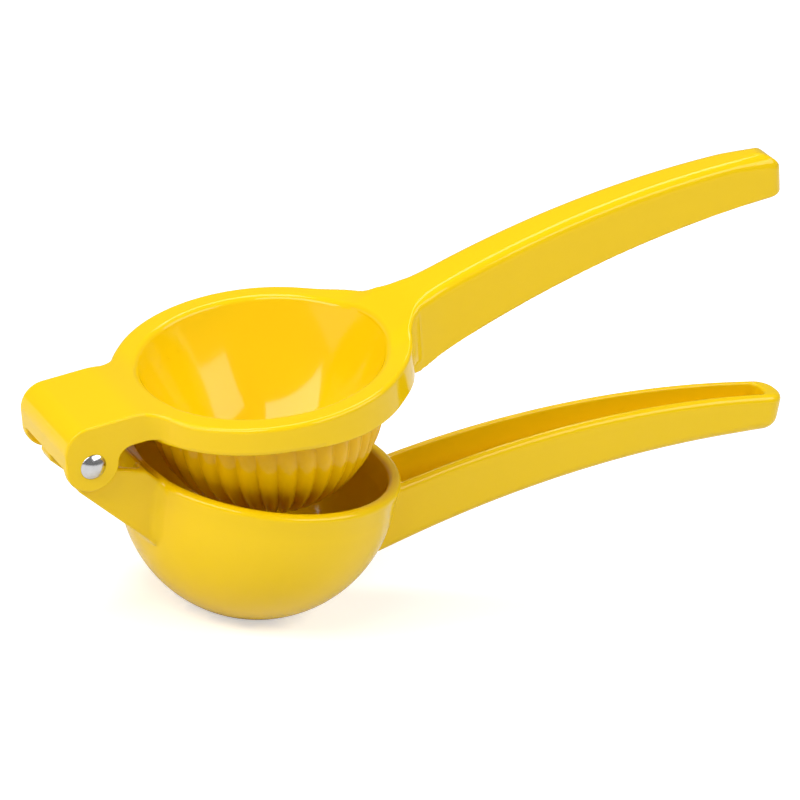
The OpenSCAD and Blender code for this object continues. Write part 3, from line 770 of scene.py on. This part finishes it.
drift = enamel_group()
enamel = enamel_material("lemon enamel", drift, low=(0.87, 0.57, 0.002), high=(0.90, 0.60, 0.003),
                         gloss=0.3)
# The flutes get a deeper tone and less sheen: painted shade, standing in for the shadow under the ring.
flute_shade_enamel = enamel_material("lemon enamel on the flutes", drift, low=(0.80, 0.455, 0.001),
                               high=(0.83, 0.485, 0.002), gloss=0.2)
steel = steel_material()

# The grids are fine at the hinge, on the rims and at the tips, and wide along the handles.
upper_points, upper_normals, upper_faces = surface(
    upper_sdf,
    runs((-61.5, -38, 0.45), (-38, 52, 0.7), (52, 142, 1.6), (142, 152.4, 0.5)),
    runs((-39, -15.4, 0.66), (-15.4, -11.6, 0.4), (-11.6, 11.6, 0.6), (11.6, 15.4, 0.4),
         (15.4, 39, 0.66)),
    runs((-41.5, -17, 0.8), (-17, 3.6, 0.46), (3.6, 20, 0.5)))
upper_points = from_ring(upper_points - np.array([RING_PIVOT[0], 0, RING_PIVOT[1]]))
upper_points += np.array([PIVOT[0], 0, PIVOT[1]])
upper = add_mesh("upper_casting", upper_points, from_ring(upper_normals), upper_faces, enamel)

lower_points, lower_normals, lower_faces = surface(
    lower_sdf,
    runs((-60.5, -36, 0.5), (-36, 45, 0.68), (45, 143, 1.6), (143, 154.2, 0.5)),
    runs((-37.5, -13, 0.68), (-13, -9, 0.45), (-9, 9, 0.55), (9, 13, 0.45), (13, 37.5, 0.68)),
    runs((-41.6, -8, 0.68), (-8, 12, 0.45), (12, 15.6, 0.45)))
lower_points = lower_points + np.array([0, 0, RIM_Z])
lower = add_mesh("lower_casting", lower_points, lower_normals, lower_faces, enamel)

# The fluted shell wears the enamel with painted shade.
shell = grown("fluted_press_cup", fluted_tree(), Flutes=36, Radius=30.5, Flute_Depth=0.95,
              Wall=1.5, Drum_Height=4.4, Material=flute_shade_enamel)
tilt = Matrix.Rotation(-math.radians(OPEN_ANGLE), 4, "Y")
cup_place = (Matrix.Translation((PIVOT[0], 0, PIVOT[1])) @ tilt
             @ Matrix.Translation((CUP_SHIFT - RING_PIVOT[0], 0, -CUP_DEPTH - RING_PIVOT[1])))
shell.data.transform(Matrix.Scale(MM, 4) @ cup_place)
shell.data.update()

rivet = turned("rivet", rivet_profile(), 64, steel)
rivet.data.transform(Matrix.Translation((PIVOT[0] * MM, 0, PIVOT[1] * MM)))

for piece, body, cad, slot in ((upper, "upper_lever", "upper_lever", "lemon_enamel"),
                               (shell, "upper_lever", "upper_lever", "lemon_enamel"),
                               (lower, "lower_lever", "lower_lever", "lemon_enamel"),
                               (rivet, "upper_lever", "hinge_rivet", "polished_steel")):
    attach(piece, body)
    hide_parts(cad)


# ---------------------------------------------------------------- floor, light and camera

FLOOR_TONE = 0.8
FLOOR_HALF = 3


def floor_material():
    """Pale paint, slightly uneven in tone, that looks white where it is seen directly."""
    uneven = 0.01
    mat = bpy.data.materials.new("pale floor")
    mat.use_nodes = True
    t = mat.node_tree
    noise = node(t, "ShaderNodeTexNoise", Scale=3.0)
    where = t.nodes.new("ShaderNodeTexCoord")
    t.links.new(where.outputs["Object"], noise.inputs["Vector"])
    ramp = t.nodes.new("ShaderNodeValToRGB")
    for stop, tone in zip(ramp.color_ramp.elements, (FLOOR_TONE, FLOOR_TONE + uneven)):
        stop.color = (tone, tone, tone, 1)
    t.links.new(noise.outputs["Fac"], ramp.inputs["Fac"])
    shader = t.nodes["Principled BSDF"]
    t.links.new(ramp.outputs["Color"], shader.inputs["Base Color"])
    shader.inputs["Roughness"].default_value = 0.9
    shader.inputs["Specular IOR Level"].default_value = 0.1
    glow = node(t, "ShaderNodeEmission", Color=(1, 1, 1, 1))
    both = t.nodes.new("ShaderNodeAddShader")
    t.links.new(seen_white(t, base=0.0, camera=0.5, glossy=0.02, clear=0.5), glow.inputs["Strength"])
    t.links.new(shader.outputs[0], both.inputs[0])
    t.links.new(glow.outputs[0], both.inputs[1])
    t.links.new(both.outputs[0], t.nodes["Material Output"].inputs["Surface"])
    return mat


def seen_white(tree, base, camera, glossy, clear):
    """Strength that adds these shares where a surface is seen directly, in gloss or through glass."""
    ray = tree.nodes.new("ShaderNodeLightPath")
    total = None
    for kind, share in (("Is Camera Ray", camera), ("Is Glossy Ray", glossy),
                        ("Is Transmission Ray", clear)):
        add = tree.nodes.new("ShaderNodeMath")
        add.operation = "MULTIPLY_ADD"
        tree.links.new(ray.outputs[kind], add.inputs[0])
        add.inputs[1].default_value = share
        add.inputs[2].default_value = base
        if total is not None:
            tree.links.new(total, add.inputs[2])
        total = add.outputs[0]
    return total


floor_mesh = bpy.data.meshes.new("floor")
floor_mesh.from_pydata([(-FLOOR_HALF, -FLOOR_HALF, 0), (FLOOR_HALF, -FLOOR_HALF, 0),
                        (FLOOR_HALF, FLOOR_HALF, 0), (-FLOOR_HALF, FLOOR_HALF, 0)],
                       [], [(0, 1, 2, 3)])
floor_mesh.materials.append(floor_material())
add_object("floor", floor_mesh)

world = bpy.data.worlds.new("studio")
bpy.context.scene.world = world
world.use_nodes = True
studio = world.node_tree
backdrop = studio.nodes["Background"]
backdrop.inputs["Color"].default_value = (1, 1, 1, 1)
studio.links.new(seen_white(studio, base=0.16, camera=0.84, glossy=0.06, clear=0.84),
                 backdrop.inputs["Strength"])


def bearing(azimuth, elevation):
    """Direction from the object towards a place at these angles, in radians."""
    return Vector((math.sin(azimuth) * math.cos(elevation), -math.cos(azimuth) * math.cos(elevation),
                   math.sin(elevation)))


def softbox(name, azimuth, elevation, distance, width, height, power, roll=0.0):
    """Rectangular lamp that stands at this bearing from the object, rolled about its own axis."""
    aim = Vector((0.03, 0, 0.05))
    data = bpy.data.lights.new(name, "AREA")
    data.shape = "RECTANGLE"
    data.size, data.size_y = width, height
    data.energy = power
    where = aim + bearing(math.radians(azimuth), math.radians(elevation)) * distance
    turned_to = (aim - where).to_track_quat("-Z", "Y").to_matrix().to_4x4()
    obj = bpy.data.objects.new(name, data)
    obj.matrix_world = Matrix.Translation(where) @ turned_to @ Matrix.Rotation(math.radians(roll), 4, "Z")
    bpy.context.scene.collection.objects.link(obj)


softbox("overhead", azimuth=-165, elevation=72, distance=2.2, width=2.2, height=0.7, power=23.0)
softbox("right box", azimuth=38, elevation=42, distance=2.4, width=2.4, height=1.1, power=31.0)
softbox("left box", azimuth=-78, elevation=34, distance=2.4, width=3.0, height=0.93, power=46.0, roll=42)

TARGET = Vector((37.1, 0, 55.09)) * MM
AZIMUTH, ELEVATION, ROLL = (math.radians(v) for v in (-31.11, 22.31, 10.85))
DISTANCE = 1.2
VIEW_WIDTH = 0.8 / 3.89           # metres that the picture takes in at the target
SENSOR = 36
back = bearing(AZIMUTH, ELEVATION)
right = Vector((math.cos(AZIMUTH), math.sin(AZIMUTH), 0))
up = back.cross(right)
side = right * math.cos(ROLL) + up * math.sin(ROLL)
top = up * math.cos(ROLL) - right * math.sin(ROLL)
lens = bpy.data.cameras.new("camera")
lens.sensor_width = SENSOR
lens.lens = SENSOR * DISTANCE / VIEW_WIDTH
lens.clip_start = 0.05
lens.clip_end = 20
camera = add_object("camera", lens)
stand = TARGET + back * DISTANCE
camera.matrix_world = Matrix((
    (side.x, top.x, back.x, stand.x),
    (side.y, top.y, back.y, stand.y),
    (side.z, top.z, back.z, stand.z),
    (0, 0, 0, 1)))
bpy.context.scene.camera = camera
bpy.context.scene.view_settings.view_transform = "Standard"
